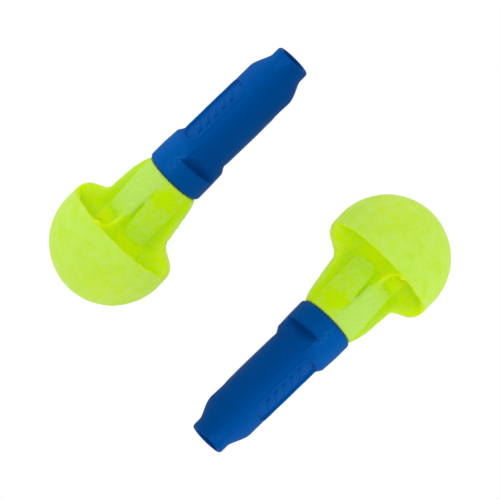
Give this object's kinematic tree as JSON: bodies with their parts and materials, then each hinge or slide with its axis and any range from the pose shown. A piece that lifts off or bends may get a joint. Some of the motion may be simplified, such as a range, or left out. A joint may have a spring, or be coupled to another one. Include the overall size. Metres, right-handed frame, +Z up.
{
  "type": "foam ear plugs",
  "caption": "Uncorded push-in ear plugs: mushroom foam tips with scooped pockets on stiff stem cores, each pressed into a soft plastic grip with a collar, thumb panels and an open cord socket.",
  "frame": {"origin": "middle of the pair on the surface that both plugs lie on", "axes": "+Z up from that surface; +X from the dome towards the grip of plug a, whose axis dips by about ten degrees; +Y from plug a towards plug b, which is plug a turned half a turn about Z"},
  "size_m": [0.0394, 0.0392, 0.0151],
  "materials": {
    "foam": "open-cell foam with a soft moulded skin, lime yellow-green",
    "stem": "plain natural plastic, hidden",
    "grip": "matt soft plastic, blue"
  },
  "bodies": {
    "plug_a": {"plug_a_foam_tip": "foam", "plug_a_stem_core": "stem", "plug_a_grip": "grip"},
    "plug_b": {"plug_b_foam_tip": "foam", "plug_b_stem_core": "stem", "plug_b_grip": "grip"}
  },
  "joints": [
    {"name": "plug_b_slide", "type": "slide", "parent": "plug_a", "child": "plug_b", "axis": [0, 1, 0], "range_m": [0, 0.04]}
  ]
}
